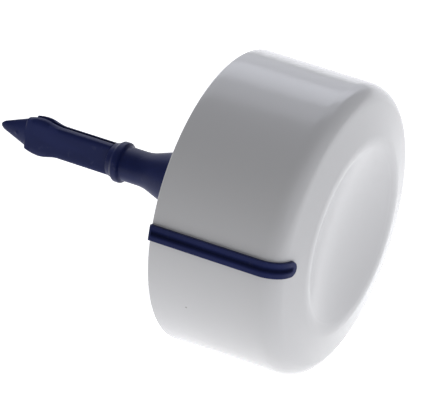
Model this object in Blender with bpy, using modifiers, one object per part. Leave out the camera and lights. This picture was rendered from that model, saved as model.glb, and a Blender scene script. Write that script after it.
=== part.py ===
"""Snap-in control knob of an appliance's programme selector.

A hollow white cap with a pointer bar let into it sits on a blue hub carrier, and a split blue stem snaps into
the selector's hollow spindle. Lengths are in metres. The knob's axis lies along X, with the stem towards -X, the
face towards +X, and X = 0 in the plane of the cap's back rim. Each piece is modelled with the pointer on the -Y
side, and an empty then rolls the whole knob about X, the way it lies on a table.
"""
from math import asin, cos, pi, radians, sin, sqrt, tan

import bmesh
import bpy
from mathutils import Matrix, Vector

MM = 0.001

# How the knob lies.
ROLL = radians(-18.5)

# Cap.
RIM_RADIUS = 25.0 * MM
SKIRT_DRAFT = radians(0.78)
CAP_WALL = 2.2 * MM
EDGE_RADIUS = 3.6 * MM
CREST_X = 24.05 * MM
CREST_RADIUS = 15.9 * MM
CREST_BLEND = 2.0 * MM
LAND_SLOPE = radians(12.6)
DISH_DEPTH = 2.8 * MM
LEDGE_X = 10.8 * MM
LEDGE_LENGTH = 1.2 * MM
LEDGE_HEIGHT = 1.0 * MM
RIB_WIDTH = 2.0 * MM

# Pointer bar.
POINTER_WIDTH = 2.6 * MM
POINTER_PROUD = 0.4 * MM
POINTER_SUNK = 0.6 * MM
POINTER_TO_CREST = 4.4 * MM
FOOT_LENGTH = 3.2 * MM
TONGUE_LENGTH = 8.0 * MM
TONGUE_THICKNESS = 1.2 * MM

# Hub carrier and its snap hooks.
HUB_BACK = 0.4 * MM
HUB_LENGTH = 10.6 * MM
HUB_WALL = 2.6 * MM
RING_WALL = 1.8 * MM
RING_BACK = 4.5 * MM
RING_FRONT = 9.0 * MM
SPOKE_WIDTH = 2.0 * MM
SPOKES = 3
HOOK_WIDTH = 6.0 * MM
HOOK_THICKNESS = 1.1 * MM
HOOK_GRIP = 0.6 * MM
HOOK_HEAD = 2.4 * MM

# Stem.
SHANK_RADIUS = 3.0 * MM
BEAD_RADIUS = 3.55 * MM
BEAD_X = -19.3 * MM
FORK_X = -21.3 * MM
FLARE_X = -14.4 * MM
FLARE_ANGLE = radians(19.0)
FLANGE_X = 0.1 * MM
PLUG_RADIUS = 5.6 * MM
PLUG_FLAT = 4.8 * MM
GROOVE_DEPTH = 0.65 * MM
PLUG_TAIL = 0.9 * MM

# Snap legs.
BLADE_RADIUS = 2.85 * MM
BLADE_THICKNESS = 2.9 * MM
SLOT_WIDTH = 0.7 * MM
LEAF_RADIUS = 3.45 * MM
LEAF_START = -31.4 * MM
LEAF_PEAK = -35.1 * MM
FAR_LEG_END = -37.2 * MM
NEAR_LEAF_END = -38.3 * MM
NOSE_RADIUS = 2.5 * MM
NOSE_END = -43.85 * MM
NOSE_THICKNESS = 2.3 * MM

# Retaining clip.
CLIP_WIRE = 1.0 * MM
CLIP_OPENING = radians(70.0)

# Gaps.
SEAT_GAP = 0.3 * MM
SLIDING_GAP = 0.1 * MM
HINGE_GAP = 0.1 * MM
BEYOND = 5.0 * MM

CAP_STEPS = 64
STEM_STEPS = 40
PRISM_STEPS = 24
ARC_STEPS = 6

# Places worked out from the sizes above.
BORE_RADIUS = PLUG_RADIUS + SLIDING_GAP
HUB_RADIUS = BORE_RADIUS + HUB_WALL
HUB_FRONT = HUB_BACK + HUB_LENGTH
GROOVE_X = HUB_FRONT + SEAT_GAP - SLIDING_GAP
GROOVE_LENGTH = CLIP_WIRE + 2 * SLIDING_GAP
SHANK_TO_FLANGE = FLANGE_X - FLARE_X
FLANGE_RADIUS = SHANK_RADIUS + SHANK_TO_FLANGE * tan(FLARE_ANGLE)
SKIRT_INSIDE = RIM_RADIUS - CAP_WALL
RING_OUTER = SKIRT_INSIDE - TONGUE_THICKNESS - 2 * SEAT_GAP
POINTER_END_RADIUS = CREST_RADIUS + POINTER_TO_CREST
TURN = 2 * pi / SPOKES


def clear_scene():
    for item in list(bpy.data.objects):
        bpy.data.objects.remove(item, do_unlink=True)


def new_collection(name):
    group = bpy.data.collections.new(name)
    bpy.context.scene.collection.children.link(group)
    return group


def plastic(name, colour, roughness, metallic=0.0):
    material = bpy.data.materials.new(name)
    material.use_nodes = True
    shader = material.node_tree.nodes["Principled BSDF"]
    shader.inputs["Base Color"].default_value = (*colour, 1.0)
    shader.inputs["Roughness"].default_value = roughness
    shader.inputs["Metallic"].default_value = metallic
    return material


def rounded(corners):
    """Points along a line of (x, r, rounding) corners, with an arc in place of each corner that has a rounding."""
    points = []
    for index, (x, r, rounding) in enumerate(corners):
        here = Vector((x, r))
        if rounding == 0.0:
            points.append(here)
            continue
        back = (Vector(corners[index - 1][:2]) - here).normalized()
        ahead = (Vector(corners[index + 1][:2]) - here).normalized()
        half = back.angle(ahead) / 2
        centre = here + (back + ahead).normalized() * (rounding / sin(half))
        start = (here + back * (rounding / tan(half)) - centre).normalized()
        end = (here + ahead * (rounding / tan(half)) - centre).normalized()
        for step in range(ARC_STEPS + 1):
            points.append(centre + start.slerp(end, step / ARC_STEPS) * rounding)
    return points


def place(item, group, parent):
    group.objects.link(item)
    item.parent = parent
    return item


def turned(name, points, steps, group, parent, closed=False):
    """A solid turned about X from (x, r) points; a closed line of points makes a ring."""
    mesh = bpy.data.meshes.new(name)
    shape = bmesh.new()
    verts = [shape.verts.new((x, r, 0.0)) for x, r in points]
    for first, second in zip(verts, verts[1:]):
        shape.edges.new((first, second))
    if closed:
        shape.edges.new((verts[-1], verts[0]))
    shape.to_mesh(mesh)
    shape.free()
    item = place(bpy.data.objects.new(name, mesh), group, parent)
    screw = item.modifiers.new("Turn", "SCREW")
    screw.axis = "X"
    screw.steps = steps
    screw.render_steps = steps
    screw.use_merge_vertices = True
    screw.merge_threshold = 1e-6
    screw.use_normal_calculate = True
    screw.use_smooth_shade = True
    return item


def block(name, low, high, group, parent, turn=0.0):
    """A box between two corners, turned about X."""
    mesh = bpy.data.meshes.new(name)
    shape = bmesh.new()
    bmesh.ops.create_cube(shape, size=1.0)
    low, high = Vector(low), Vector(high)
    bmesh.ops.scale(shape, vec=high - low, verts=shape.verts)
    bmesh.ops.translate(shape, vec=(low + high) / 2, verts=shape.verts)
    shape.to_mesh(mesh)
    shape.free()
    item = place(bpy.data.objects.new(name, mesh), group, parent)
    item.rotation_euler.x = turn
    return item


def slot_prism(name, width, inner, outer, x_range, group, parent):
    """A prism along X whose outline in YZ is a slot from y = -inner to y = -outer, with round ends."""
    mesh = bpy.data.meshes.new(name)
    shape = bmesh.new()
    radius = width / 2 / cos(pi / PRISM_STEPS)
    bmesh.ops.create_cone(shape, cap_ends=True, segments=PRISM_STEPS, radius1=radius, radius2=radius,
                          depth=x_range[1] - x_range[0], matrix=Matrix.Rotation(pi / PRISM_STEPS, 4, "Z"))
    for vert in shape.verts:
        x, y, z = vert.co.z, vert.co.y, vert.co.x
        centre = inner + width / 2 if y > 0 else outer
        vert.co = (x + sum(x_range) / 2, y - centre, z)
    shape.normal_update()
    bmesh.ops.recalc_face_normals(shape, faces=shape.faces)
    shape.to_mesh(mesh)
    shape.free()
    return place(bpy.data.objects.new(name, mesh), group, parent)


def combine(target, operation, *tools):
    for tool in tools:
        step = target.modifiers.new(tool.name, "BOOLEAN")
        step.operation = operation
        step.solver = "EXACT"
        step.object = tool
        tool.display_type = "WIRE"
        tool.hide_render = True


def hinge(name, location, turn, group, parent):
    """An empty on a hinge's axis, for the piece that turns there."""
    item = place(bpy.data.objects.new(name, None), group, parent)
    item.location = location
    item.rotation_euler.x = turn
    return item


def cross(first_normal, first_level, second_normal, second_level):
    """Where two lines meet, each given by its normal and its level along it."""
    det = first_normal.cross(second_normal)
    x = (first_level * second_normal.y - second_level * first_normal.y) / det
    r = (first_normal.x * second_level - second_normal.x * first_level) / det
    return Vector((x, r))


def cap_line(offset, rim_x):
    """The cap's section from rim to axis, moved outwards by offset: skirt, rounded edge, land, crest and dish."""
    skirt = Vector((sin(SKIRT_DRAFT), cos(SKIRT_DRAFT)))
    land = Vector((cos(LAND_SLOPE), sin(LAND_SLOPE)))
    skirt_level = skirt.dot(Vector((0.0, RIM_RADIUS))) + offset
    land_level = land.dot(Vector((CREST_X, CREST_RADIUS))) + offset
    rim = Vector((rim_x, (skirt_level - rim_x * skirt.x) / skirt.y))
    edge = cross(skirt, skirt_level, land, land_level)
    sphere = (CREST_RADIUS ** 2 + DISH_DEPTH ** 2) / (2 * DISH_DEPTH)
    centre_x = CREST_X - DISH_DEPTH + sphere
    ball = sphere - offset
    crest = Vector((CREST_X, CREST_RADIUS)) + land * offset
    crest_slope = asin(crest.y / ball)
    crest.x = centre_x - ball * cos(crest_slope)
    slide = (land_level - land.dot(crest)) / land.y
    crest.y += slide
    crest.x = centre_x - sqrt(ball ** 2 - crest.y ** 2)
    inwards = Vector((-crest.y, -(centre_x - crest.x))).normalized() * MM
    dish_start = crest + inwards
    blend = max(CREST_BLEND + offset, 0.4 * MM)
    points = rounded([(*rim, 0.0), (*edge, EDGE_RADIUS + offset), (*crest, blend), (*dish_start, 0.0)])
    points.pop()
    slope = asin((points[-1].y - 0.3 * MM) / ball)
    for step in range(9):
        angle = slope * (1 - step / 8)
        points.append(Vector((centre_x - ball * cos(angle), ball * sin(angle))))
    points[-1].y = 0.0
    return points


def pointer_section(outwards, inwards):
    """A closed section between two lines parallel to the cap's surface, from the rim to inside the crest."""
    outer = [point for point in cap_line(outwards, 0.0) if point.y > CREST_RADIUS + CREST_BLEND]
    inner = [point for point in cap_line(inwards, 0.0) if point.y > CREST_RADIUS + CREST_BLEND]
    for line, offset in ((outer, outwards), (inner, inwards)):
        land = Vector((cos(LAND_SLOPE), sin(LAND_SLOPE)))
        start = Vector((CREST_X, CREST_RADIUS)) + land * offset
        line.append(start + Vector((-land.y, land.x)) * CREST_BLEND)
    return outer + inner[::-1]


def make_cap(parts, tools, frame, white):
    outer = cap_line(0.0, 0.0)
    inner = cap_line(-CAP_WALL, 0.0)
    lip = SKIRT_INSIDE - LEDGE_HEIGHT
    ledge = [(LEDGE_X, SKIRT_INSIDE), (LEDGE_X, lip), (LEDGE_X + LEDGE_LENGTH, lip),
             (LEDGE_X + LEDGE_LENGTH + 0.5 * LEDGE_HEIGHT, SKIRT_INSIDE)]
    for x, r in ledge:
        drafted = r - x * tan(SKIRT_DRAFT)
        inner.insert(1 + ledge.index((x, r)), Vector((x, drafted)))
    cap = turned("cap_shell", outer[::-1] + inner, CAP_STEPS, parts, frame)
    groove = turned("groove_ring", pointer_section(BEYOND, -POINTER_SUNK - SLIDING_GAP), CAP_STEPS, tools, frame,
                    closed=True)
    bed = slot_prism("groove_bed", POINTER_WIDTH + 2 * SLIDING_GAP, POINTER_END_RADIUS - SLIDING_GAP,
                     RIM_RADIUS + 2 * BEYOND, (-BEYOND, CREST_X + BEYOND), tools, frame)
    combine(groove, "INTERSECT", bed)
    half = POINTER_WIDTH / 2 + SLIDING_GAP
    notch = block("rim_notch", (-BEYOND, -RIM_RADIUS - BEYOND, -half),
                  (FOOT_LENGTH + SLIDING_GAP, -SKIRT_INSIDE + BEYOND, half), tools, frame)
    ribs = [block(f"stop_rib_{number + 1}", (RING_FRONT + SEAT_GAP, -SKIRT_INSIDE - CAP_WALL / 2, -RIB_WIDTH / 2),
                  (CREST_X - DISH_DEPTH, -RING_OUTER + RING_WALL, RIB_WIDTH / 2), tools, frame, number * TURN)
            for number in range(SPOKES)]
    combine(cap, "UNION", *ribs)
    combine(cap, "DIFFERENCE", groove, notch)
    cap.data.materials.append(white)


def make_pointer(parts, tools, frame, blue):
    bar = turned("pointer_bar", pointer_section(POINTER_PROUD, -POINTER_SUNK), CAP_STEPS, parts, frame, closed=True)
    bed = slot_prism("pointer_outline", POINTER_WIDTH, POINTER_END_RADIUS, RIM_RADIUS + 2 * BEYOND,
                     (-BEYOND, CREST_X + BEYOND), tools, frame)
    half = POINTER_WIDTH / 2
    tongue_in = RING_OUTER + SEAT_GAP
    foot = block("pointer_foot", (0.0, -RIM_RADIUS + POINTER_SUNK / 2, -half), (FOOT_LENGTH, -tongue_in, half),
                 tools, frame)
    tongue = block("pointer_tongue", (0.0, -tongue_in - TONGUE_THICKNESS, -half), (TONGUE_LENGTH, -tongue_in, half),
                   tools, frame)
    combine(bar, "INTERSECT", bed)
    combine(bar, "UNION", foot, tongue)
    bar.data.materials.append(blue)


def make_hub(parts, tools, frame, blue):
    hub = turned("hub_carrier", [(HUB_BACK, 0.0), (HUB_BACK, HUB_RADIUS), (HUB_FRONT, HUB_RADIUS), (HUB_FRONT, 0.0)],
                 STEM_STEPS, parts, frame)
    ring_inner = RING_OUTER - RING_WALL
    ring = turned("ring", [(RING_BACK, ring_inner), (RING_BACK, RING_OUTER), (RING_FRONT, RING_OUTER),
                           (RING_FRONT, ring_inner)], CAP_STEPS, tools, frame, closed=True)
    spokes = [block(f"spoke_{number + 1}", (RING_BACK, -RING_OUTER + RING_WALL / 2, -SPOKE_WIDTH / 2),
                    (RING_FRONT, -BORE_RADIUS - HUB_WALL / 2, SPOKE_WIDTH / 2), tools, frame, number * TURN)
              for number in range(SPOKES)]
    bore = turned("bore", [(HUB_BACK - BEYOND, 0.0), (HUB_BACK - BEYOND, BORE_RADIUS),
                           (HUB_FRONT + BEYOND, BORE_RADIUS), (HUB_FRONT + BEYOND, 0.0)], STEM_STEPS, tools, frame)
    key = block("bore_flat", (HUB_BACK - 2 * BEYOND, PLUG_FLAT + SLIDING_GAP, -HUB_RADIUS),
                (HUB_FRONT + 2 * BEYOND, HUB_RADIUS, HUB_RADIUS), tools, frame)
    combine(bore, "DIFFERENCE", key)
    combine(hub, "UNION", ring, *spokes)
    combine(hub, "DIFFERENCE", bore)
    hub.data.materials.append(blue)


def make_hook(number, parts, tools, frame, blue):
    """An arm along X from the ring, with a head that hooks outwards over the cap's ledge."""
    root = RING_FRONT + HINGE_GAP
    lip = SKIRT_INSIDE - LEDGE_HEIGHT - LEDGE_X * tan(SKIRT_DRAFT)
    arm = RING_OUTER - HOOK_THICKNESS / 2
    pivot = hinge(f"hook_{number}_axis", (0.0, 0.0, 0.0), (number - 0.5) * TURN, tools, frame)
    axis = hinge(f"hook_{number}_hinge", (root, -arm, 0.0), 0.0, tools, pivot)
    head = LEDGE_X + LEDGE_LENGTH + LEDGE_HEIGHT / 2 + SLIDING_GAP
    outside = arm + HOOK_THICKNESS / 2
    outline = [(root, outside - HOOK_THICKNESS), (head + HOOK_HEAD, outside - HOOK_THICKNESS),
               (head + HOOK_HEAD, outside), (head + HOOK_HEAD / 3, lip + HOOK_GRIP), (head, lip + HOOK_GRIP),
               (head, outside), (root, outside)]
    curve = bpy.data.curves.new(f"hub_hook_{number}", "CURVE")
    curve.dimensions = "2D"
    curve.fill_mode = "BOTH"
    curve.extrude = HOOK_WIDTH / 2
    spline = curve.splines.new("POLY")
    spline.points.add(len(outline) - 1)
    for point, (x, r) in zip(spline.points, outline):
        point.co = (x - root, arm - r, 0.0, 1.0)
    spline.use_cyclic_u = True
    item = place(bpy.data.objects.new(f"hub_hook_{number}", curve), parts, axis)
    item.data.materials.append(blue)


def make_stem(parts, tools, frame, blue):
    plug_end = GROOVE_X + GROOVE_LENGTH + PLUG_TAIL
    groove_floor = PLUG_RADIUS - GROOVE_DEPTH
    chamfer = PLUG_TAIL / 3
    section = rounded([
        (FORK_X, 0.0, 0.0), (FORK_X, BLADE_RADIUS, 0.0), (FORK_X + 0.7 * MM, SHANK_RADIUS + 0.1 * MM, 0.0),
        (BEAD_X - 0.5 * MM, BEAD_RADIUS, 0.3 * MM), (BEAD_X + 0.4 * MM, BEAD_RADIUS, 0.3 * MM),
        (BEAD_X + 0.8 * MM, SHANK_RADIUS, 0.0), (FLARE_X, SHANK_RADIUS, 5.0 * MM),
        (FLANGE_X, FLANGE_RADIUS, 0.0), (FLANGE_X, PLUG_RADIUS, 0.0), (GROOVE_X, PLUG_RADIUS, 0.0),
        (GROOVE_X, groove_floor, 0.0), (GROOVE_X + GROOVE_LENGTH, groove_floor, 0.0),
        (GROOVE_X + GROOVE_LENGTH, PLUG_RADIUS, 0.0), (plug_end - chamfer, PLUG_RADIUS, 0.0),
        (plug_end, PLUG_RADIUS - chamfer, 0.0), (plug_end, 0.0, 0.0)])
    stem = turned("stem_shaft", section, STEM_STEPS, parts, frame)
    key = block("plug_flat", (FLANGE_X, PLUG_FLAT, -HUB_RADIUS), (plug_end + BEYOND, HUB_RADIUS, HUB_RADIUS),
                tools, frame)
    combine(stem, "DIFFERENCE", key)
    stem.data.materials.append(blue)


def leaf_line(end_x):
    """The leg's outline radius from its root to end_x: straight, then the leaf-shaped barb."""
    root = FORK_X - HINGE_GAP
    points = [(root, 0.0), (root, BLADE_RADIUS)]
    rise = LEAF_PEAK - LEAF_START
    for step in range(9):
        share = step / 8
        points.append((LEAF_START + rise * share,
                       BLADE_RADIUS + (LEAF_RADIUS - BLADE_RADIUS) * sin(share * pi / 2) ** 2))
    fall = NEAR_LEAF_END - LEAF_PEAK
    drop = LEAF_RADIUS - BLADE_RADIUS
    for step in range(1, 6):
        x = LEAF_PEAK + (end_x - LEAF_PEAK) * step / 5
        points.append((x, LEAF_RADIUS - drop * ((x - LEAF_PEAK) / fall) ** 2))
    points.append((end_x, 0.0))
    return points


def make_leg(name, side, end_x, parts, tools, frame, blue):
    """A flat leg on one side of the stem's slot; side is -1 for the pointer's side and 1 for the other."""
    middle = side * (SLOT_WIDTH + BLADE_THICKNESS) / 4
    axis = hinge(f"{name}_hinge", (FORK_X - HINGE_GAP, middle, 0.0), 0.0, tools, frame)
    leg = turned(name, leaf_line(end_x), STEM_STEPS, parts, axis)
    leg.location = -axis.location
    faces = sorted((side * SLOT_WIDTH / 2, side * BLADE_THICKNESS / 2))
    slab = block(f"{name}_slab", (NOSE_END - BEYOND, faces[0], -2 * LEAF_RADIUS),
                 (FORK_X + BEYOND, faces[1], 2 * LEAF_RADIUS), tools, frame)
    combine(leg, "INTERSECT", slab)
    leg.data.materials.append(blue)
    return leg


def make_nose(leg, tools, frame):
    """The near leg's nose: a blunt cone, flattened to the leg's thickness and flush with its outer face."""
    length = NOSE_END - NEAR_LEAF_END
    section = [(NEAR_LEAF_END + SEAT_GAP, 0.0), (NEAR_LEAF_END + SEAT_GAP, NOSE_RADIUS)]
    for share, width in ((0.0, 1.0), (0.2, 0.92), (0.4, 0.73), (0.6, 0.53), (0.8, 0.32), (0.93, 0.18), (0.985, 0.09)):
        section.append((NEAR_LEAF_END + length * share, NOSE_RADIUS * width))
    section.append((NOSE_END, 0.0))
    nose = turned("nose", section, STEM_STEPS, tools, frame)
    flatten = NOSE_THICKNESS / (2 * NOSE_RADIUS)
    nose.scale.y = flatten
    nose.location.y = -(BLADE_THICKNESS - NOSE_THICKNESS) / 2
    combine(leg, "UNION", nose)


def make_clip(parts, frame, steel):
    """A spring wire ring, open on one side, in the groove of the stem's plug."""
    radius = PLUG_RADIUS - GROOVE_DEPTH + SLIDING_GAP + CLIP_WIRE / 2
    curve = bpy.data.curves.new("retaining_clip", "CURVE")
    curve.dimensions = "3D"
    curve.bevel_depth = CLIP_WIRE / 2
    curve.bevel_resolution = 2
    curve.use_fill_caps = True
    curve.resolution_u = 1
    spline = curve.splines.new("POLY")
    count = 26
    spline.points.add(count - 1)
    for index, point in enumerate(spline.points):
        angle = CLIP_OPENING / 2 + (2 * pi - CLIP_OPENING) * index / (count - 1)
        point.co = (0.0, radius * cos(angle), radius * sin(angle), 1.0)
    clip = place(bpy.data.objects.new("retaining_clip", curve), parts, frame)
    clip.location.x = GROOVE_X + GROOVE_LENGTH / 2
    clip.data.materials.append(steel)


def main():
    clear_scene()
    parts = new_collection("programme_selector_knob")
    tools = new_collection("cutters")
    frame = place(bpy.data.objects.new("knob_frame", None), tools, None)
    frame.rotation_euler.x = ROLL
    white = plastic("cap_white", (0.80, 0.80, 0.81), 0.22)
    blue = plastic("stem_blue", (0.016, 0.022, 0.075), 0.42)
    steel = plastic("spring_steel", (0.55, 0.56, 0.58), 0.3, 1.0)
    make_cap(parts, tools, frame, white)
    make_pointer(parts, tools, frame, blue)
    make_hub(parts, tools, frame, blue)
    for number in range(1, SPOKES + 1):
        make_hook(number, parts, tools, frame, blue)
    make_stem(parts, tools, frame, blue)
    near = make_leg("snap_leg_near", -1, NEAR_LEAF_END, parts, tools, frame, blue)
    make_nose(near, tools, frame)
    make_leg("snap_leg_far", 1, FAR_LEG_END, parts, tools, frame, blue)
    make_clip(parts, frame, steel)


main()
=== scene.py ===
"""Looks of a snap-in control knob: white cap, blue pointer bar, hub carrier and split stem.

Every shape is a surface worked out with numpy in the knob's own frame, with the axis along X and the pointer on
the -Y side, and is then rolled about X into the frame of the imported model.
"""

import bpy
import numpy as np
from mathutils import Matrix, Vector


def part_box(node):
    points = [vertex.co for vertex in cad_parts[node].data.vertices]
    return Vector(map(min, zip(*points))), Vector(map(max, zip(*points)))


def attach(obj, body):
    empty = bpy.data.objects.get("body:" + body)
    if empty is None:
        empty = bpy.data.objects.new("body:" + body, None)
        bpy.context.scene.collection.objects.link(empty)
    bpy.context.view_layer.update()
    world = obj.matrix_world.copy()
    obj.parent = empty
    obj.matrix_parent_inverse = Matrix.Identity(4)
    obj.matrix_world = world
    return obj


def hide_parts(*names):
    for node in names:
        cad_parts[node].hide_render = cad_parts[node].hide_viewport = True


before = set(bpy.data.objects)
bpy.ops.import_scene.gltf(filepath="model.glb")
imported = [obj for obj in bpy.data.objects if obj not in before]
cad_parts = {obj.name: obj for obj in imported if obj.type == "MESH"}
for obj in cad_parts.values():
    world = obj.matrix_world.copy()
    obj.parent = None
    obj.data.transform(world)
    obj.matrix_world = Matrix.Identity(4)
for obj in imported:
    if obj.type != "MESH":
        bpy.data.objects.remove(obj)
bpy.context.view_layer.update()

bl_info = {
    "name": "Snap-in Control Knob",
    "version": (1, 0, 0),
    "blender": (4, 5, 0),
    "location": "View3D > Sidebar > Knob",
    "description": "Builds a white control knob with a blue pointer bar and a split snap-in stem",
    "category": "Add Mesh",
}

MM = 0.001
CAP_LOW, CAP_HIGH = (np.array(corner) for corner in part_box("cap_shell"))
STEM_LOW, STEM_HIGH = (np.array(corner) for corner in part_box("stem_shaft"))
NEAR_LOW, NEAR_HIGH = (np.array(corner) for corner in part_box("snap_leg_near"))
FAR_LOW, FAR_HIGH = (np.array(corner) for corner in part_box("snap_leg_far"))
HUB_LOW, HUB_HIGH = (np.array(corner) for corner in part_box("hub_carrier"))
CLIP_LOW, CLIP_HIGH = (np.array(corner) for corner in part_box("retaining_clip"))
TONGUE_END = 8.0 * MM
ROLL = float(np.radians(-18.5))


def length(label, words, value):
    return bpy.props.FloatProperty(name=label, description=words, default=float(value), subtype="DISTANCE",
                                   unit="LENGTH", precision=5)


def angle(label, words, value):
    return bpy.props.FloatProperty(name=label, description=words, default=float(np.radians(value)),
                                   subtype="ANGLE", unit="ROTATION")


def colour(label, words, value):
    return bpy.props.FloatVectorProperty(name=label, description=words, default=value, subtype="COLOR", size=3,
                                         min=0.0, max=1.0)


class KnobCapSizes(bpy.types.PropertyGroup):
    rim_radius: length("Rim radius", "Outer radius at the back rim", (CAP_HIGH[2] - CAP_LOW[2]) / 2)
    draft: angle("Draft", "Slope of the skirt towards the face", 0.78)
    wall: length("Wall", "Thickness of the cap's wall", 2.2 * MM)
    edge: length("Edge radius", "Rounding between skirt and land", 3.6 * MM)
    crest_x: length("Crest place", "Where land and dish would meet in a sharp crest", CAP_HIGH[0] + 0.18 * MM)
    crest_radius: length("Crest radius", "Radius of the crest circle", 15.9 * MM)
    crest_blend: length("Crest blend", "Rounding of the crest", 4.5 * MM)
    land_slope: angle("Land slope", "Slope of the land between edge and crest", 13.4)
    dish_depth: length("Dish depth", "Depth of the dish below the crest", 2.8 * MM)
    ledge_x: length("Ledge place", "Back side of the ledge that the hooks grip", 10.8 * MM)
    ledge_length: length("Ledge length", "Length of the ledge along the axis", 1.2 * MM)
    ledge_height: length("Ledge height", "How far the ledge stands in from the skirt", 1.0 * MM)
    rib_back: length("Rib start", "Back end of the three stop ribs", HUB_HIGH[0] - 1.7 * MM)
    rib_width: length("Rib width", "Thickness of a stop rib", 2.0 * MM)


class KnobPointerSizes(bpy.types.PropertyGroup):
    width: length("Width", "Width of the pointer bar", 2.6 * MM)
    proud: length("Proud", "Height of the bar's crown above the cap", 0.42 * MM)
    sunk: length("Sunk", "Depth of the bar in its groove", 0.6 * MM)
    end_radius: length("End radius", "How near the axis the bar ends", 20.3 * MM)
    foot: length("Foot", "Length of the foot through the rim", 3.2 * MM)
    tongue: length("Tongue", "Length of the tongue beside the hub's ring", TONGUE_END)


class KnobHubSizes(bpy.types.PropertyGroup):
    bore: length("Bore", "Radius of the bore for the stem's plug", 5.7 * MM)
    wall: length("Wall", "Wall of the hub's tube", 2.6 * MM)
    ring: length("Ring radius", "Outer radius of the ring", 21.0 * MM)
    ring_wall: length("Ring wall", "Radial thickness of the ring", 1.8 * MM)
    ring_back: length("Ring back", "Back face of ring and spokes", 4.5 * MM)
    ring_front: length("Ring front", "Front face of ring and spokes", 9.0 * MM)
    spoke: length("Spoke", "Thickness of a spoke", 2.0 * MM)
    hook_width: length("Hook width", "Width of a snap hook", 6.0 * MM)
    hook_arm: length("Hook arm", "Thickness of a hook's arm", 1.1 * MM)
    hook_grip: length("Hook grip", "How far a hook reaches over the ledge", 0.6 * MM)
    hook_head: length("Hook head", "Length of a hook's head", 2.4 * MM)


class KnobStemSizes(bpy.types.PropertyGroup):
    shank: length("Shank radius", "Radius of the round shank", 3.0 * MM)
    bead: length("Bead radius", "Radius of the bead that stops the stem", 3.55 * MM)
    bead_x: length("Bead place", "Middle of the bead along the axis", -19.3 * MM)
    fork_x: length("Fork place", "Where the two legs begin", STEM_LOW[0])
    flare_x: length("Flare place", "Where the shank begins to widen", -14.4 * MM)
    flare: angle("Flare", "Half angle of the flare", 19.0)
    flange_x: length("Flange place", "Where the flare ends at the hub", 0.1 * MM)
    plug: length("Plug radius", "Radius of the plug in the hub", 5.6 * MM)
    plug_flat: length("Plug flat", "Distance of the plug's flat from the axis", 4.8 * MM)
    groove: length("Groove depth", "Depth of the clip's groove", 0.65 * MM)


class KnobLegSizes(bpy.types.PropertyGroup):
    blade: length("Blade radius", "Radius of the legs' rounded edges", 2.85 * MM)
    thickness: length("Thickness", "Thickness across both legs", 2.9 * MM)
    slot: length("Slot", "Width of the slot between the legs", 0.7 * MM)
    leaf: length("Leaf radius", "Largest radius of the leaf-shaped barbs", 3.45 * MM)
    leaf_start: length("Leaf start", "Where the barbs begin to widen", -31.4 * MM)
    leaf_peak: length("Leaf peak", "Where the barbs are widest", -35.1 * MM)
    far_end: length("Far end", "End of the far leg", FAR_LOW[0])
    near_end: length("Near end", "End of the near leg's barb", -38.3 * MM)
    nose: length("Nose radius", "Half height of the nose at its root", 2.5 * MM)
    nose_thickness: length("Nose thickness", "Thickness of the nose at its root", 2.3 * MM)
    nose_end: length("Nose end", "Tip of the nose", NEAR_LOW[0] + 0.3 * MM)
    nose_tip: length("Nose tip", "Half height of the nose where its round tip begins", 0.85 * MM)
    nose_round: length("Round tip", "Length of the nose's round tip", 0.9 * MM)


class KnobColours(bpy.types.PropertyGroup):
    cap: colour("Cap", "Colour of the cap's plastic", (0.65, 0.65, 0.664))
    stem: colour("Stem", "Colour of the pointer's and stem's plastic", (0.007, 0.013, 0.076))
    steel: colour("Steel", "Colour of the spring wire", (0.55, 0.56, 0.58))
    floor: colour("Floor", "Colour of the floor", (0.95, 0.95, 0.95))


# Surfaces ------------------------------------------------------------------------------------------------------

def rounded_path(corners, steps=10):
    """Points along straight lines through (x, r, rounding) corners; each rounding is a circular arc that touches
    both lines: its centre lies on the bisector, rounding / sin(half angle) from the corner."""
    out = []
    for i, (x, r, rounding) in enumerate(corners):
        here = np.array([x, r])
        if rounding <= 0.0:
            out.append(here[None])
            continue
        back = np.array(corners[i - 1][:2]) - here
        ahead = np.array(corners[(i + 1) % len(corners)][:2]) - here
        back, ahead = back / np.linalg.norm(back), ahead / np.linalg.norm(ahead)
        half = np.arccos(np.clip(back @ ahead, -1, 1)) / 2
        bisector = (back + ahead) / np.linalg.norm(back + ahead)
        centre = here + bisector * rounding / np.sin(half)
        first = here + back * rounding / np.tan(half) - centre
        last = here + ahead * rounding / np.tan(half) - centre
        sweep = np.arctan2(first[0] * last[1] - first[1] * last[0], first @ last)
        turn = np.linspace(0.0, sweep, steps + 1)
        cos, sin = np.cos(turn), np.sin(turn)
        out.append(centre + np.stack([first[0] * cos - first[1] * sin, first[0] * sin + first[1] * cos], axis=1))
    return np.concatenate(out)


def respaced(path, step):
    """The path with extra points, so that no stretch is longer than step; its own points stay."""
    gaps = np.linalg.norm(np.diff(path, axis=0), axis=1)
    pieces = [a + (b - a) * np.linspace(0, 1, max(int(np.ceil(g / step)), 1), endpoint=False)[:, None]
              for a, b, g in zip(path[:-1], path[1:], gaps)]
    return np.concatenate(pieces + [path[-1:]])


def normals_of(path):
    """Unit normals of a line in (x, r), to the left of its direction."""
    along = np.gradient(path, axis=0)
    along /= np.linalg.norm(along, axis=1)[:, None]
    return np.stack([-along[:, 1], along[:, 0]], axis=1)


def grid_faces(rows, columns, wrap_rows=False, start=0):
    """Four-sided faces of a grid of points whose columns close round; wrap_rows closes the rows too."""
    i = np.arange(rows if wrap_rows else rows - 1)[:, None]
    j = np.arange(columns)[None, :]
    a, b = i * columns + j, i * columns + (j + 1) % columns
    c, d = ((i + 1) % rows) * columns + (j + 1) % columns, ((i + 1) % rows) * columns + j
    return (np.stack([a, b, c, d], axis=-1).reshape(-1, 4) + start).tolist()


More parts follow.
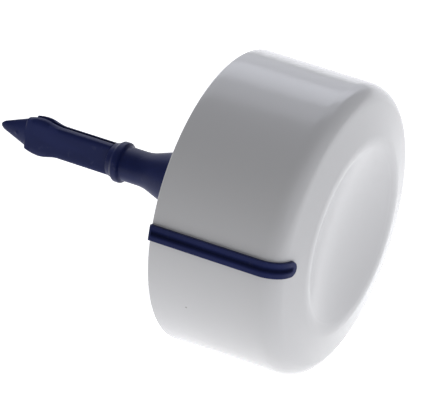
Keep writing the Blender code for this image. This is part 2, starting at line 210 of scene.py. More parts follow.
def solid_grid(points, wrap_rows=False):
    """Vertices and faces of a closed surface from a (rows, columns, 3) grid. Unless the rows close too, the first
    and last rows are closed with a fan to their mean point."""
    rows, columns = points.shape[:2]
    verts = points.reshape(-1, 3)
    faces = grid_faces(rows, columns, wrap_rows)
    if wrap_rows:
        return verts, faces
    ends = np.stack([points[0].mean(axis=0), points[-1].mean(axis=0)])
    verts = np.concatenate([verts, ends])
    near, far = rows * columns, rows * columns + 1
    j = np.arange(columns)
    k = (j + 1) % columns
    last = (rows - 1) * columns
    faces += np.stack([np.full(columns, near), k, j], axis=1).tolist()
    faces += np.stack([np.full(columns, far), last + j, last + k], axis=1).tolist()
    return verts, faces


def turned(path, columns):
    """A surface of revolution: point (x, r) of the path at angle t lies at (x, -r cos t, r sin t)."""
    t = np.linspace(0, 2 * np.pi, columns, endpoint=False)
    x = np.repeat(path[:, :1], columns, axis=1)
    return np.stack([x, -path[:, 1:] * np.cos(t), path[:, 1:] * np.sin(t)], axis=-1)


def rounded_box(low, high, rounding, rings=10, columns=16):
    """A box with round edges: each direction d of a globe, moved out by the core's half size in d's octant,
    centre + sign(d) * (half size - rounding) + d * rounding."""
    low, high = np.array(low), np.array(high)
    polar = (np.arange(rings) + 0.5) / rings * np.pi
    turn = (np.arange(columns) + 0.5) / columns * 2 * np.pi
    d = np.stack([np.repeat(np.cos(polar)[:, None], columns, axis=1), np.sin(polar)[:, None] * np.cos(turn),
                  np.sin(polar)[:, None] * np.sin(turn)], axis=-1)
    core = (high - low) / 2 - rounding
    return solid_grid((low + high) / 2 + np.sign(d) * core + d * rounding)


def turn_about_x(points, turn):
    cos, sin = np.cos(turn), np.sin(turn)
    x, y, z = points[..., 0], points[..., 1], points[..., 2]
    return np.stack([x, y * cos - z * sin, y * sin + z * cos], axis=-1)


def joined(*solids):
    """Several closed surfaces as one list of vertices and faces."""
    verts, faces, start = [], [], 0
    for points, polygons in solids:
        verts.append(points)
        faces += [[index + start for index in polygon] for polygon in polygons]
        start += len(points)
    return np.concatenate(verts), faces


def new_piece(name, solid, material, body, node, sharp=32.0, weld=0.0):
    """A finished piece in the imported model's frame, facing outwards and smooth except at its sharp edges."""
    verts, faces = solid
    mesh = bpy.data.meshes.new(name)
    mesh.from_pydata(turn_about_x(verts, ROLL).tolist(), [], faces)
    mesh.validate()
    if weld > 0.0:
        weld_mesh(mesh, weld)
    face_outwards(mesh)
    mesh.polygons.foreach_set("use_smooth", np.ones(len(mesh.polygons), dtype=bool))
    mesh.set_sharp_from_angle(angle=float(np.radians(sharp)))
    mesh.materials.append(material)
    piece = bpy.data.objects.new(name, mesh)
    bpy.context.scene.collection.objects.link(piece)
    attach(piece, body)
    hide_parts(node)
    return piece


def weld_mesh(mesh, distance):
    """Merges vertices that fall on each other, and drops the faces that this flattens."""
    import bmesh
    shape = bmesh.new()
    shape.from_mesh(mesh)
    bmesh.ops.remove_doubles(shape, verts=shape.verts, dist=distance)
    shape.to_mesh(mesh)
    shape.free()


def face_outwards(mesh):
    """Turns every island's faces outwards."""
    import bmesh
    shape = bmesh.new()
    shape.from_mesh(mesh)
    shape.normal_update()
    bmesh.ops.recalc_face_normals(shape, faces=shape.faces)
    shape.to_mesh(mesh)
    shape.free()


# Materials -----------------------------------------------------------------------------------------------------

class Nodes:
    """Adds nodes to a material and links them in one call each."""

    def __init__(self, name):
        self.material = bpy.data.materials.new(name)
        self.material.use_nodes = True
        self.tree = self.material.node_tree
        self.shader = self.tree.nodes["Principled BSDF"]
        self.place = self.add("ShaderNodeTexCoord").outputs["Object"]

    def add(self, kind, inputs=None, **settings):
        node = self.tree.nodes.new(kind)
        for key, value in settings.items():
            setattr(node, key, value)
        for key, value in (inputs or {}).items():
            if isinstance(value, bpy.types.NodeSocket):
                self.tree.links.new(value, node.inputs[key])
            else:
                node.inputs[key].default_value = value
        return node

    def noise(self, scale, detail=2.0, roughness=0.5, stretch=None):
        place = self.place
        if stretch is not None:
            place = self.add("ShaderNodeMapping", {"Vector": place, "Scale": stretch}).outputs[0]
        return self.add("ShaderNodeTexNoise", {"Vector": place, "Scale": scale, "Detail": detail,
                                               "Roughness": roughness}).outputs["Fac"]

    def ramp(self, value, low, high, out_low, out_high):
        return self.add("ShaderNodeMapRange", {"Value": value, "From Min": low, "From Max": high,
                                               "To Min": out_low, "To Max": out_high}).outputs[0]

    def mix(self, share, first, second):
        node = self.add("ShaderNodeMix", data_type="RGBA")
        for socket, value in ((node.inputs[0], share), (node.inputs[6], first), (node.inputs[7], second)):
            if isinstance(value, bpy.types.NodeSocket):
                self.tree.links.new(value, socket)
            else:
                socket.default_value = value
        return node.outputs[2]

    def bump(self, height, distance, strength=1.0, normal=None):
        inputs = {"Height": height, "Distance": distance, "Strength": strength}
        if normal is not None:
            inputs["Normal"] = normal
        return self.add("ShaderNodeBump", inputs).outputs[0]

    def set(self, **inputs):
        for key, value in inputs.items():
            socket = self.shader.inputs[key.replace("_", " ")]
            if isinstance(value, bpy.types.NodeSocket):
                self.tree.links.new(value, socket)
            else:
                socket.default_value = value


def cap_material(tint):
    """Polished white moulding: faint orange peel, faint haze in the gloss, and a few specks of dust."""
    nodes = Nodes("cap_gloss_white")
    haze = nodes.noise(90.0, 4.0, 0.6)
    peel = nodes.noise(420.0, 2.0, 0.45)
    fine = nodes.noise(2600.0, 3.0, 0.6)
    specks = nodes.add("ShaderNodeTexVoronoi", {"Vector": nodes.place, "Scale": 260.0, "Randomness": 1.0})
    rare = nodes.add("ShaderNodeTexWhiteNoise", {"Vector": specks.outputs["Position"]},
                     noise_dimensions="3D").outputs["Value"]
    near = nodes.ramp(specks.outputs["Distance"], 0.035, 0.06, 1.0, 0.0)
    chosen = nodes.ramp(rare, 0.92, 0.925, 0.0, 1.0)
    speck = nodes.add("ShaderNodeMath", {0: near, 1: chosen}, operation="MULTIPLY").outputs[0]
    base = nodes.mix(haze, (*[c * 0.985 for c in tint], 1.0), (*tint, 1.0))
    nodes.set(Base_Color=nodes.mix(speck, base, (0.30, 0.29, 0.28, 1.0)))
    nodes.set(Roughness=nodes.ramp(haze, 0.3, 0.7, 0.17, 0.23))
    peel_bump = nodes.bump(peel, 0.00002, 0.35)
    nodes.set(Normal=nodes.bump(fine, 0.000004, 0.25, peel_bump))
    nodes.set(IOR=1.53, Subsurface_Weight=0.0)
    return nodes.material


def stem_material(tint):
    """Satin blue moulding: a fine spark-eroded grain, soft flow marks along the axis and lighter rubbed spots."""
    nodes = Nodes("stem_satin_blue")
    grain = nodes.noise(3200.0, 3.0, 0.65)
    flow = nodes.noise(300.0, 3.0, 0.5, stretch=(0.25, 1.0, 1.0))
    rubbed = nodes.noise(700.0, 4.0, 0.6)
    light = tuple(min(c * 1.35 + 0.004, 1.0) for c in tint)
    base = nodes.mix(nodes.ramp(flow, 0.35, 0.75, 0.0, 1.0), (*tint, 1.0), (*light, 1.0))
    wear = nodes.ramp(rubbed, 0.62, 0.74, 0.0, 0.18)
    nodes.set(Base_Color=nodes.mix(wear, base, (0.09, 0.10, 0.17, 1.0)))
    nodes.set(Roughness=nodes.ramp(flow, 0.3, 0.7, 0.36, 0.46))
    flow_bump = nodes.bump(flow, 0.00002, 0.3)
    nodes.set(Normal=nodes.bump(grain, 0.000008, 0.5, flow_bump))
    nodes.set(Specular_IOR_Level=0.17)
    return nodes.material


def steel_material(tint):
    """Drawn spring wire: fine draw lines and uneven oil-darkened patches."""
    nodes = Nodes("drawn_spring_steel")
    lines = nodes.noise(4200.0, 2.0, 0.5, stretch=(4.0, 1.0, 1.0))
    patches = nodes.noise(500.0, 3.0, 0.6)
    nodes.set(Base_Color=nodes.mix(nodes.ramp(patches, 0.4, 0.7, 0.0, 0.5), (*tint, 1.0), (0.30, 0.29, 0.28, 1.0)))
    nodes.set(Roughness=nodes.ramp(lines, 0.3, 0.7, 0.24, 0.38), Metallic=1.0)
    nodes.set(Normal=nodes.bump(lines, 0.000006, 0.5))
    return nodes.material


def floor_material(tint):
    """The white sheet of a light table: matt, with a very faint tooth, and lit from below."""
    nodes = Nodes("light_table")
    tooth = nodes.noise(900.0, 3.0, 0.6)
    nodes.set(Base_Color=(*tint, 1.0), Roughness=0.9, Normal=nodes.bump(tooth, 0.00001, 0.2))
    nodes.set(Emission_Color=(1.0, 1.0, 1.0, 1.0), Emission_Strength=0.76)
    return nodes.material


def named_material(name, make, tint):
    found = bpy.data.materials.get(name)
    return found if found is not None else make(tuple(tint))


def blue(context):
    return named_material("stem_satin_blue", stem_material, context.scene.knob_colours.stem)


# Cap -----------------------------------------------------------------------------------------------------------

def cap_line(sizes, offset):
    """The cap's section moved outwards by offset, from the rim over skirt, edge and land to the dish's middle.

    The skirt is r = rim - x tan(draft); the land is a cone through the crest at the land's slope; the dish is part
    of a sphere through the crest with radius (crest^2 + depth^2) / (2 depth)."""
    skirt = np.array([np.sin(sizes.draft), np.cos(sizes.draft)])
    land = np.array([np.cos(sizes.land_slope), np.sin(sizes.land_slope)])
    crest = np.array([sizes.crest_x, sizes.crest_radius])
    skirt_level = skirt[1] * sizes.rim_radius + offset
    land_level = land @ crest + offset
    edge = np.linalg.solve(np.stack([skirt, land]), [skirt_level, land_level])
    sphere = (sizes.crest_radius ** 2 + sizes.dish_depth ** 2) / (2 * sizes.dish_depth)
    centre = sizes.crest_x - sizes.dish_depth + sphere
    ball = sphere - offset
    r = sizes.crest_radius
    for _ in range(8):
        x = centre - np.sqrt(ball ** 2 - r ** 2)
        r = (land_level - land[0] * x) / land[1]
    x = centre - np.sqrt(ball ** 2 - r ** 2)
    inwards = np.array([-r, x - centre])
    ahead = np.array([x, r]) + inwards / np.linalg.norm(inwards) * MM
    rim = np.array([0.0, skirt_level / skirt[1]])
    blend = max(sizes.crest_blend + offset, 0.4 * MM)
    head = rounded_path([(*rim, 0), (*edge, sizes.edge + offset), (x, r, blend), (*ahead, 0)], 16)[:-1]
    start = np.arcsin((head[-1, 1] - 0.2 * MM) / ball)
    slope = start * np.linspace(1.0, 0.004, 30)
    dish = np.stack([centre - ball * np.cos(slope), ball * np.sin(slope)], axis=1)
    return np.concatenate([head, dish])


def cap_outline(sizes):
    """The whole closed section: outside from dish to rim, round the rim, and inside from rim to dish."""
    rim_rounding = 0.3 * MM
    outer, inner = cap_line(sizes, 0.0), cap_line(sizes, -sizes.wall)
    inside = lambda x: inner[0, 1] - x * np.tan(sizes.draft)
    lip = sizes.ledge_height
    front = sizes.ledge_x + sizes.ledge_length
    soft = 0.2 * MM
    rim = rounded_path([(1.5 * MM, outer[0, 1] - 1.5 * MM * np.tan(sizes.draft), 0), (0.0, outer[0, 1], rim_rounding),
                        (0.0, inner[0, 1], rim_rounding), (2.0 * MM, inside(2.0 * MM), 0)], 5)
    ledge = rounded_path([(sizes.ledge_x - MM, inside(sizes.ledge_x - MM), 0),
                          (sizes.ledge_x, inside(sizes.ledge_x), soft),
                          (sizes.ledge_x, inside(sizes.ledge_x) - lip, soft), (front, inside(front) - lip, soft),
                          (front + lip / 2, inside(front + lip / 2), soft), (front + 2 * MM, inside(front + 2 * MM), 0)],
                         4)
    outside = respaced(outer[1:][::-1], 0.3 * MM)
    skirt_outside = respaced(np.stack([outer[1], rim[0]]), 0.7 * MM)[1:-1]
    skirt_inside = respaced(np.stack([rim[-1], ledge[0]]), 1.0 * MM)[1:-1]
    dome = respaced(np.concatenate([ledge[-1:], inner[1:]]), 0.9 * MM)
    return np.concatenate([outside, skirt_outside, rim, skirt_inside, ledge[:-1], dome])


def cap_surface(context):
    """The cap as one grid: rows follow its section, columns go round it. Columns beside the pointer keep a fixed
    distance z from the pointer's plane, so the groove's sides are straight: there the surface lies at
    y = -sqrt(r^2 - z^2) and is pushed in by the groove's depth, and cut back along X at the rim's notch."""
    sizes, bar = context.scene.knob_cap, context.scene.knob_pointer
    path = cap_outline(sizes)
    normal = -normals_of(path)
    half = bar.width / 2
    tight = 0.02 * MM
    inside = np.linspace(-half + tight, half - tight, 25)
    beside = half + np.array([0.0, 0.25, 0.6, 1.1, 1.8]) * MM
    z = np.concatenate([-beside[::-1], inside, beside])
    is_groove = (np.abs(z) < half - tight / 2)[None, :]
    r = path[:, 1:]
    squeeze = np.minimum(r / (12.0 * MM), 1.0)
    from_end = np.hypot(z[None, :], np.minimum(r - bar.end_radius - half, 0.0))
    share = np.clip((half - from_end) / (0.05 * MM) + 0.5, 0.0, 1.0)
    outer_rows = np.arange(len(path))[:, None] < np.argmin(path[:, 0])
    depth = bar.sunk * share * is_groove * outer_rows * (r > bar.end_radius - MM)
    x = path[:, :1] + normal[:, :1] * -depth
    pushed = r - normal[:, 1:] * depth
    x = np.where(is_groove & (r > sizes.rim_radius - 2 * sizes.wall), np.maximum(x, bar.foot), x)
    z_here = z[None, :] * squeeze
    band = np.stack([x, -np.sqrt(np.maximum(pushed ** 2 - z_here ** 2, 0.0)), z_here], axis=-1)
    edge = np.arcsin(np.clip(beside[-1] * squeeze / r, -1, 1))
    share = np.linspace(0, 1, 181)[None, 1:-1]
    t = edge + (2 * np.pi - 2 * edge) * share
    around = np.stack([np.repeat(path[:, :1], t.shape[1], axis=1), -r * np.cos(t), r * np.sin(t)], axis=-1)
    return np.concatenate([band, around], axis=1)


class KNOB_OT_cap(bpy.types.Operator):
    """Build the white cap with its dished face, pointer groove, rim notch, hook ledge and stop ribs"""
    bl_idname = "knob.cap"
    bl_label = "Cap"

    def execute(self, context):
        sizes, hub = context.scene.knob_cap, context.scene.knob_hub
        white = named_material("cap_gloss_white", cap_material, context.scene.knob_colours.cap)
        solids = [solid_grid(cap_surface(context))]
        depth = sizes.crest_x - sizes.dish_depth
        for number in range(3):
            box, faces = rounded_box((sizes.rib_back, -sizes.rim_radius + sizes.wall / 2, -sizes.rib_width / 2),
                                     (depth, -hub.ring + hub.ring_wall, sizes.rib_width / 2), 0.2 * MM)
            solids.append((turn_about_x(box, number * 2 * np.pi / 3), faces))
        new_piece("cap_body", joined(*solids), white, "knob", "cap_shell")
        return {"FINISHED"}


# Pointer -------------------------------------------------------------------------------------------------------

def pointer_surface(context):
    """The bar as a pillow over its outline: contour lines of the outline, each moved in by t, carry the height
    h(t) = proud (1 - (1 - t / half)^3)^(1/3) above the cap, so the section is a rounded crown. The outline is
    straight along both sides, square at the rim and a half circle at the face's end. Point (s, z, h) of the outline
    lies at P(s) + N(s) h, at the distance z from the pointer's plane, where P is the cap's own section."""
    sizes, bar = context.scene.knob_cap, context.scene.knob_pointer
    section = respaced(cap_line(sizes, 0.0)[:60], 0.1 * MM)
    section = section[section[:, 1] > sizes.crest_radius]
    run = np.concatenate([[0.0], np.cumsum(np.linalg.norm(np.diff(section, axis=0), axis=1))])
    half = bar.width / 2
    end = np.interp(-bar.end_radius, -section[:, 1], run)
    normal = -normals_of(section)
    stop = end - half
    sides, arc, ends = 70, 24, 8
    t_top = half * (1 - np.cos(np.linspace(0, np.pi / 2, 16)))
    height_top = bar.proud * np.cbrt(1 - (1 - t_top / half) ** 3)
    t = np.concatenate([[half, half / 2, 0.06 * MM, 0.0], t_top])[:, None]
    height = np.concatenate([[-bar.sunk, -bar.sunk, -bar.sunk, -bar.sunk + 0.06 * MM], height_top])[:, None]
    u = np.linspace(0, 1, sides, endpoint=False)[None, :]
    rim_in = np.minimum(t, 0.35 * MM)
    out_s, out_z = rim_in + (stop - rim_in) * u, -(half - t) * np.ones_like(u)
    turn = np.linspace(-np.pi / 2, np.pi / 2, arc, endpoint=False)[None, :]
    arc_s, arc_z = stop + (half - t) * np.cos(turn), (half - t) * np.sin(turn)
    back_s, back_z = stop + (rim_in - stop) * u, (half - t) * np.ones_like(u)
    v = np.linspace(1, -1, ends, endpoint=False)[None, :]
    rim_s, rim_z = rim_in * np.ones_like(v), (half - t) * v
    s = np.concatenate([out_s, arc_s, back_s, rim_s], axis=1)
    z = np.concatenate([out_z, arc_z, back_z, rim_z], axis=1)
    place = np.stack([np.interp(s, run, section[:, k]) for k in (0, 1)], axis=-1)
    lean = np.stack([np.interp(s, run, normal[:, k]) for k in (0, 1)], axis=-1)
    point = place + lean * height[..., None]
    return np.stack([np.maximum(point[..., 0], 0.0), -np.sqrt(point[..., 1] ** 2 - z ** 2), z], axis=-1)


class KNOB_OT_pointer(bpy.types.Operator):
    """Build the blue pointer bar, with its foot through the rim and its tongue beside the hub's ring"""
    bl_idname = "knob.pointer"
    bl_label = "Pointer Bar"

    def execute(self, context):
        sizes, bar, hub = context.scene.knob_cap, context.scene.knob_pointer, context.scene.knob_hub
        half, gap = bar.width / 2, 0.3 * MM
        tongue_in = hub.ring + gap
        foot = rounded_box((0.02 * MM, -sizes.rim_radius, -half), (bar.foot, -tongue_in, half), 0.15 * MM)
        tongue = rounded_box((0.02 * MM, -tongue_in - 1.2 * MM, -half), (bar.tongue, -tongue_in, half), 0.15 * MM)
        solid = joined(solid_grid(pointer_surface(context)), foot, tongue)
        new_piece("pointer_line", solid, blue(context), "knob", "pointer_bar", weld=1e-7)
        return {"FINISHED"}


# Hub -----------------------------------------------------------------------------------------------------------

def ring_solid(x0, x1, r0, r1, rounding, columns):
    """A ring with round edges, turned from a rounded rectangle."""
    corners = [(x0, r0, rounding), (x0, r1, rounding), (x1, r1, rounding), (x1, r0, rounding)]
    return turned(rounded_path(corners, 4), columns)


class KNOB_OT_hub(bpy.types.Operator):
    """Build the hub carrier: the tube for the stem's plug, the ring and three spokes"""
    bl_idname = "knob.hub"
    bl_label = "Hub Carrier"

    def execute(self, context):
        hub, stem = context.scene.knob_hub, context.scene.knob_stem
        soft = 0.25 * MM
        tube = ring_solid(HUB_LOW[0], HUB_HIGH[0], hub.bore, hub.bore + hub.wall, soft, 128)
        is_bore = np.hypot(tube[..., 1], tube[..., 2]) < hub.bore + soft / 2
        flat = stem.plug_flat + 0.1 * MM
        tube[..., 1] = np.where(is_bore, np.minimum(tube[..., 1], flat), tube[..., 1])
        ring = ring_solid(hub.ring_back, hub.ring_front, hub.ring - hub.ring_wall, hub.ring, soft, 192)
        solids = [solid_grid(tube, True), solid_grid(ring, True)]
        for number in range(3):
            box, faces = rounded_box((hub.ring_back, -hub.ring + hub.ring_wall / 2, -hub.spoke / 2),
                                     (hub.ring_front, -hub.bore - hub.wall / 2, hub.spoke / 2), soft)
            solids.append((turn_about_x(box, number * 2 * np.pi / 3), faces))
        new_piece("hub_spider", joined(*solids), blue(context), "knob", "hub_carrier")
        return {"FINISHED"}


def hook_solid(context, number):
    """A hook's side outline in (x, r), carried across its width; the outer lines are drawn in by the bevel."""
    sizes, hub = context.scene.knob_cap, context.scene.knob_hub
    root = hub.ring_front + 0.1 * MM
    lip = sizes.rim_radius - sizes.wall - sizes.ledge_height - sizes.ledge_x * np.tan(sizes.draft)
    head = sizes.ledge_x + sizes.ledge_length + sizes.ledge_height / 2 + 0.1 * MM
    inner = hub.ring - hub.hook_arm
    tip = head + hub.hook_head
    outline = rounded_path([(root, inner, 0.05 * MM), (root, hub.ring, 0.05 * MM), (head, hub.ring, 0.15 * MM),
                            (head, lip + hub.hook_grip, 0.1 * MM), (head + hub.hook_head / 3, lip + hub.hook_grip, 0.3 * MM),
                            (tip, hub.ring, 0.15 * MM), (tip, inner, 0.2 * MM)], 4)
    count = len(outline)
    half = hub.hook_width / 2
    z = np.array([-half, half])
    points = np.stack([np.repeat(outline[None, :, 0], 2, axis=0), -np.repeat(outline[None, :, 1], 2, axis=0),
                       np.repeat(z[:, None], count, axis=1)], axis=-1)
    faces = grid_faces(2, count) + [list(range(count)), list(range(count, 2 * count))]
    return turn_about_x(points.reshape(-1, 3), (number - 0.5) * 2 * np.pi / 3), faces


class KNOB_OT_hooks(bpy.types.Operator):
    """Build the three snap hooks that hold the hub carrier behind the cap's ledge"""
    bl_idname = "knob.hooks"
    bl_label = "Snap Hooks"

    def execute(self, context):
        for number in (1, 2, 3):
            piece = new_piece(f"snap_hook_{number}", hook_solid(context, number), blue(context), f"hook_{number}",
                              f"hub_hook_{number}")
            bevel = piece.modifiers.new("Soft edges", "BEVEL")
            bevel.width = 0.12 * MM
            bevel.segments = 2
            bevel.limit_method = "ANGLE"
            bevel.angle_limit = float(np.radians(50.0))
        return {"FINISHED"}


# Stem ----------------------------------------------------------------------------------------------------------

class KNOB_OT_stem(bpy.types.Operator):
    """Build the stem: fork root, bead, round shank, flare and the keyed plug with its clip groove"""
    bl_idname = "knob.stem"
    bl_label = "Stem"

    def execute(self, context):
        stem, leg = context.scene.knob_stem, context.scene.knob_legs
        flange = stem.shank + (stem.flange_x - stem.flare_x) * np.tan(stem.flare)
        end = STEM_HIGH[0]
        groove_back, groove_front = CLIP_LOW[0] - 0.1 * MM, CLIP_HIGH[0] + 0.1 * MM
        floor = stem.plug - stem.groove
        soft = 0.12 * MM
        path = rounded_path([
            (stem.fork_x, 0.05 * MM, 0), (stem.fork_x, leg.blade, 0.15 * MM),
            (stem.fork_x + 0.9 * MM, stem.shank + 0.12 * MM, 0.5 * MM),
            (stem.bead_x - 0.55 * MM, stem.bead, 0.45 * MM), (stem.bead_x + 0.45 * MM, stem.bead, 0.4 * MM),
            (stem.bead_x + 0.8 * MM, stem.shank, 0.3 * MM), (stem.flare_x, stem.shank, 7.0 * MM),
            (stem.flange_x, flange, soft), (stem.flange_x, stem.plug, 0), (groove_back, stem.plug, soft),
            (groove_back, floor, soft), (groove_front, floor, soft), (groove_front, stem.plug, soft),
            (end - 0.3 * MM, stem.plug, soft), (end, stem.plug - 0.3 * MM, soft), (end, 0.05 * MM, 0)], 8)
        points = turned(respaced(path, 0.5 * MM), 96)
        is_plug = points[..., 0] > stem.flange_x + soft
        points[..., 1] = np.where(is_plug, np.minimum(points[..., 1], stem.plug_flat), points[..., 1])
        new_piece("stem_post", solid_grid(points), blue(context), "knob", "stem_shaft")
        return {"FINISHED"}


# Legs ----------------------------------------------------------------------------------------------------------

def leg_section(middle, thick, radius, power, t):
    """Distance from the leg's middle to its surface in direction t: a slab of half thickness 'thick' and a disc of
    'radius' about the knob's axis, met smoothly as (slab^-power + disc^-power)^(-1/power)."""
    c, s = np.cos(t), np.sin(t)
    slab = thick / np.maximum(np.abs(c), 1e-4)
    disc = -middle * c + np.sqrt(np.maximum(radius ** 2 - (middle * s) ** 2, 1e-12))
    return (slab ** -power + disc ** -power) ** (-1 / power)


def leaf_radius(leg, x):
    """Straight at the blade's radius, up to the leaf's peak as a squared sine, and down again as a parabola."""
    rise = np.clip((x - leg.leaf_start) / (leg.leaf_peak - leg.leaf_start), 0, 1)
    fall = np.clip((leg.leaf_peak - x) / (leg.leaf_peak - leg.near_end), 0, 1)
    return leg.blade + (leg.leaf - leg.blade) * (np.sin(rise * np.pi / 2) ** 2 - fall ** 2)


def end_rounding(x, first, last, rounding):
    """How far a section is drawn in near both ends, as a quarter circle of the given radius."""
    gap = np.minimum(np.abs(x - first), np.abs(x - last))
    inside = np.clip(1 - gap / rounding, 0, 1)
    return rounding * (1 - np.sqrt(1 - inside ** 2))


def leg_rows(first, last, step, rounding):
    """Places of the rows along a leg, closer together in its rounded ends."""
    ease = rounding * (1 - np.cos(np.linspace(0, np.pi / 2, 7)))
    way = np.sign(last - first)
    middle = np.arange(first + way * rounding, last - way * rounding, way * step)[1:]
    return np.concatenate([first + way * ease, middle, (last - way * ease)[::-1]])


def leg_surface(leg, side, last):
    """A leg as a grid of sections along X; its end rows are drawn in to round the ends."""
    first = FORK_ROOT
    x = leg_rows(first, last, 0.2 * MM, 0.18 * MM)
    t = np.linspace(0, 2 * np.pi, 72, endpoint=False)[None, :]
    middle = side * (leg.slot + leg.thickness) / 4
    thick = (leg.thickness - leg.slot) / 4
    inset = end_rounding(x, first, last, 0.18 * MM)[:, None]
    radius = leaf_radius(leg, x)[:, None]
    reach = leg_section(middle, thick - inset, radius - inset, 14.0, t)
    return np.stack([np.repeat(x[:, None], t.shape[1], axis=1), middle + reach * np.cos(t), reach * np.sin(t)],
                    axis=-1)


def near_leg_surface(leg):
    """The near leg and its nose: past the leaf the section changes from slab and disc to an ellipse about the
    nose's own middle. Its half height falls evenly along X, and is drawn to nothing by the quarter ellipse
    sqrt(1 - v^2) over the round tip."""
    first, last = FORK_ROOT, leg.nose_end
    blade = leg_rows(first, leg.near_end, 0.2 * MM, 0.18 * MM)[:-6]
    nose = leg.near_end + (last - leg.near_end) * (1 - np.cos(np.linspace(0, np.pi / 2, 60))) ** 0.8
    x = np.concatenate([blade, nose[1:] * 1.0])
    step = np.clip((leg.near_end + 0.35 * MM - x) / (0.45 * MM), 0, 1)
    step = (step ** 2 * (3 - 2 * step))[:, None]
    cone = np.clip((leg.near_end - x) / (leg.near_end - last - leg.nose_round), 0, 1.3)
    v = np.clip((last + leg.nose_round - x) / leg.nose_round, 0, 1)
    half_height = (leg.nose + (leg.nose_tip - leg.nose) * cone) * np.sqrt(1 - v ** 2)
    slab_middle = -(leg.slot + leg.thickness) / 4
    slab_thick = (leg.thickness - leg.slot) / 4
    inset = end_rounding(x, first, first - 100 * MM, 0.18 * MM)[:, None]
    t = np.linspace(0, 2 * np.pi, 72, endpoint=False)[None, :]
    nose_middle = -(leg.thickness - leg.nose_thickness) / 2
    tall = np.maximum(half_height, 0.01 * MM)[:, None]
    wide = tall * leg.nose_thickness / (2 * leg.nose)
    blade_reach = leg_section(slab_middle, slab_thick - inset, leaf_radius(leg, x)[:, None] - inset, 14.0, t)
    nose_reach = 1 / np.sqrt((np.cos(t) / wide) ** 2 + (np.sin(t) / tall) ** 2)
    middle = slab_middle + (nose_middle - slab_middle) * step
    reach = blade_reach + (nose_reach - blade_reach) * step
    gate = np.exp(-((x[:, None] + 39.95 * MM) ** 2 + ((t - np.pi - 0.45) * 1.2 * MM) ** 2) / (0.3 * MM) ** 2)
    reach = reach + 0.13 * MM * gate
    return np.stack([np.repeat(x[:, None], t.shape[1], axis=1), middle + reach * np.cos(t), reach * np.sin(t)],
                    axis=-1)


class KNOB_OT_legs(bpy.types.Operator):
    """Build the two flat snap legs with their leaf-shaped barbs, and the nose on the near one"""
    bl_idname = "knob.legs"
    bl_label = "Snap Legs"

    def execute(self, context):
        leg = context.scene.knob_legs
        new_piece("leg_near", solid_grid(near_leg_surface(leg)), blue(context), "near_leg", "snap_leg_near",
                  sharp=50.0)
        new_piece("leg_far", solid_grid(leg_surface(leg, 1, leg.far_end)), blue(context), "far_leg", "snap_leg_far",
                  sharp=50.0)
        return {"FINISHED"}


# Clip ----------------------------------------------------------------------------------------------------------

class KNOB_OT_clip(bpy.types.Operator):
    """Build the open wire ring that keeps the stem's plug in the hub"""
    bl_idname = "knob.clip"
    bl_label = "Retaining Clip"

    def execute(self, context):
        wire = (CLIP_HIGH[0] - CLIP_LOW[0]) / 2
        centre = (CLIP_HIGH[0] + CLIP_LOW[0]) / 2
        stem = context.scene.knob_stem
        radius = stem.plug - stem.groove + 0.1 * MM + wire
        opening = np.radians(70.0)
        ends = wire * (1 - np.cos(np.linspace(0, np.pi / 2, 6))) / radius
        middle = np.linspace(wire / radius, 2 * np.pi - opening - wire / radius, 120)[1:-1]
        run = np.concatenate([ends, middle, (2 * np.pi - opening - ends)[::-1]])
        gap = np.minimum(run, 2 * np.pi - opening - run) * radius
        thick = wire * np.sqrt(1 - np.clip(1 - gap / wire, 0, 0.999) ** 2)
        t = np.linspace(0, 2 * np.pi, 20, endpoint=False)[None, :]
        angle_here = (opening / 2 + run)[:, None]
        r = radius + thick[:, None] * np.cos(t)
        points = np.stack([centre + thick[:, None] * np.sin(t), r * np.cos(angle_here), r * np.sin(angle_here)],
                          axis=-1)
        steel = named_material("drawn_spring_steel", steel_material, context.scene.knob_colours.steel)
        new_piece("spring_ring", solid_grid(points), steel, "knob", "retaining_clip")
        return {"FINISHED"}


# Stage ---------------------------------------------------------------------------------------------------------

def aimed(item, target):
    item.rotation_mode = "QUATERNION"
    item.rotation_quaternion = (Vector(target) - item.location).to_track_quat("-Z", "Y")


def area_light(name, place, target, size, power, tint=(1.0, 1.0, 1.0)):
    data = bpy.data.lights.new(name, "AREA")
    data.shape = "RECTANGLE"
    data.size, data.size_y = size
    data.energy = power
    data.color = tint
    light = bpy.data.objects.new(name, data)
    bpy.context.scene.collection.objects.link(light)
    light.location = place
    aimed(light, target)
    return light


def panel_light(name, heading, low, high, strength, distance=0.6, width=0.7, tint=(0.95, 0.97, 1.06)):
    """A flat soft box seen from the knob between two heights above the horizon, square to its line of sight. Its
    power is strength times pi times its area, which makes strength its brightness."""
    middle, half = np.radians((low + high) / 2), np.radians((high - low) / 2)
    side = np.array(heading) / np.linalg.norm(heading)
    place = distance * np.array([*(side * np.cos(middle)), np.sin(middle)])
    size = (width, 2 * distance * np.tan(half))
    return area_light(name, place, (0, 0, 0), size, strength * np.pi * size[0] * size[1], tint)


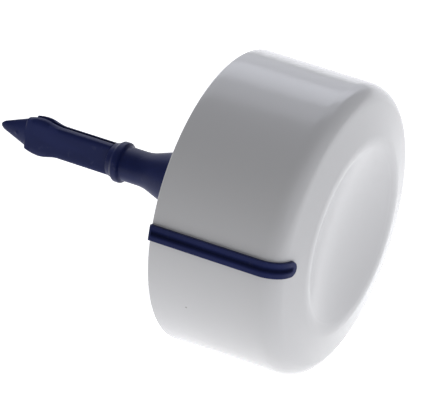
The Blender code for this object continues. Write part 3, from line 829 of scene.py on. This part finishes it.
class KNOB_OT_stage(bpy.types.Operator):
    """Lay the white floor and set the lights, the surroundings and the camera"""
    bl_idname = "knob.stage"
    bl_label = "Stage"

    def execute(self, context):
        scene = context.scene
        ground = float(CAP_LOW[2])
        reach = 2.0
        verts = [(-reach, -reach, ground), (reach, -reach, ground), (reach, reach, ground), (-reach, reach, ground)]
        mesh = bpy.data.meshes.new("floor")
        mesh.from_pydata(verts, [], [(0, 1, 2, 3)])
        mesh.materials.append(named_material("light_table", floor_material, scene.knob_colours.floor))
        floor = bpy.data.objects.new("floor", mesh)
        scene.collection.objects.link(floor)
        for name, low, high, strength in (("soft_box_low", 4.0, 21.0, 0.8), ("soft_box_main", 21.5, 44.0, 2.2),
                                          ("soft_box_high", 47.0, 62.0, 1.1)):
            panel_light(name, (-0.45, 0.89), low, high, strength)
        panel_light("side_box", (1.0, -0.1), 8.0, 50.0, 0.35)
        world = bpy.data.worlds.new("studio")
        scene.world = world
        world.use_nodes = True
        world.node_tree.nodes["Background"].inputs["Color"].default_value = (1.0, 1.0, 1.0, 1.0)
        world.node_tree.nodes["Background"].inputs["Strength"].default_value = 0.26
        scene.view_settings.view_transform = "Standard"
        data = bpy.data.cameras.new("camera")
        data.lens = 195.5
        data.sensor_width = 36.0
        camera = bpy.data.objects.new("camera", data)
        scene.collection.objects.link(camera)
        right = Vector((0.8749, 0.4843, 0.0)).normalized()
        back = Vector((0.3906, -0.7054, 0.5914))
        back = (back - right * back.dot(right)).normalized()
        up = back.cross(right)
        turn = Matrix((right, up, back)).transposed()
        camera.rotation_mode = "QUATERNION"
        camera.rotation_quaternion = turn.to_quaternion()
        camera.location = (156.77 * MM, -283.56 * MM, 234.55 * MM)
        data.clip_start, data.clip_end = 0.01, 10.0
        scene.camera = camera
        return {"FINISHED"}


# Add-on --------------------------------------------------------------------------------------------------------

FORK_ROOT = float(NEAR_HIGH[0]) + 0.12 * MM


class VIEW3D_PT_knob(bpy.types.Panel):
    bl_label = "Control Knob"
    bl_space_type = "VIEW_3D"
    bl_region_type = "UI"
    bl_category = "Knob"

    def draw(self, context):
        for label, group, operators in PANEL_ROWS:
            box = self.layout.box()
            box.label(text=label)
            settings = getattr(context.scene, group)
            for name in settings.__annotations__:
                box.prop(settings, name)
            for operator in operators:
                box.operator(operator)


SETTINGS = {"knob_cap": KnobCapSizes, "knob_pointer": KnobPointerSizes, "knob_hub": KnobHubSizes,
            "knob_stem": KnobStemSizes, "knob_legs": KnobLegSizes, "knob_colours": KnobColours}
PANEL_ROWS = (("Cap", "knob_cap", ("knob.cap",)), ("Pointer bar", "knob_pointer", ("knob.pointer",)),
              ("Hub", "knob_hub", ("knob.hub", "knob.hooks")), ("Stem", "knob_stem", ("knob.stem", "knob.clip")),
              ("Snap legs", "knob_legs", ("knob.legs",)), ("Colours", "knob_colours", ("knob.stage",)))
CLASSES = (*SETTINGS.values(), KNOB_OT_cap, KNOB_OT_pointer, KNOB_OT_hub, KNOB_OT_hooks, KNOB_OT_stem, KNOB_OT_legs,
           KNOB_OT_clip, KNOB_OT_stage, VIEW3D_PT_knob)


def register():
    for item in CLASSES:
        bpy.utils.register_class(item)
    for name, group in SETTINGS.items():
        setattr(bpy.types.Scene, name, bpy.props.PointerProperty(type=group))


def unregister():
    for name in SETTINGS:
        delattr(bpy.types.Scene, name)
    for item in reversed(CLASSES):
        bpy.utils.unregister_class(item)


def main():
    register()
    for operator in (bpy.ops.knob.stage, bpy.ops.knob.cap, bpy.ops.knob.pointer, bpy.ops.knob.hub, bpy.ops.knob.hooks,
                     bpy.ops.knob.stem, bpy.ops.knob.clip, bpy.ops.knob.legs):
        if operator() != {"FINISHED"}:
            raise RuntimeError(f"{operator.idname()} did not finish")


if __name__ == "__main__":
    main()
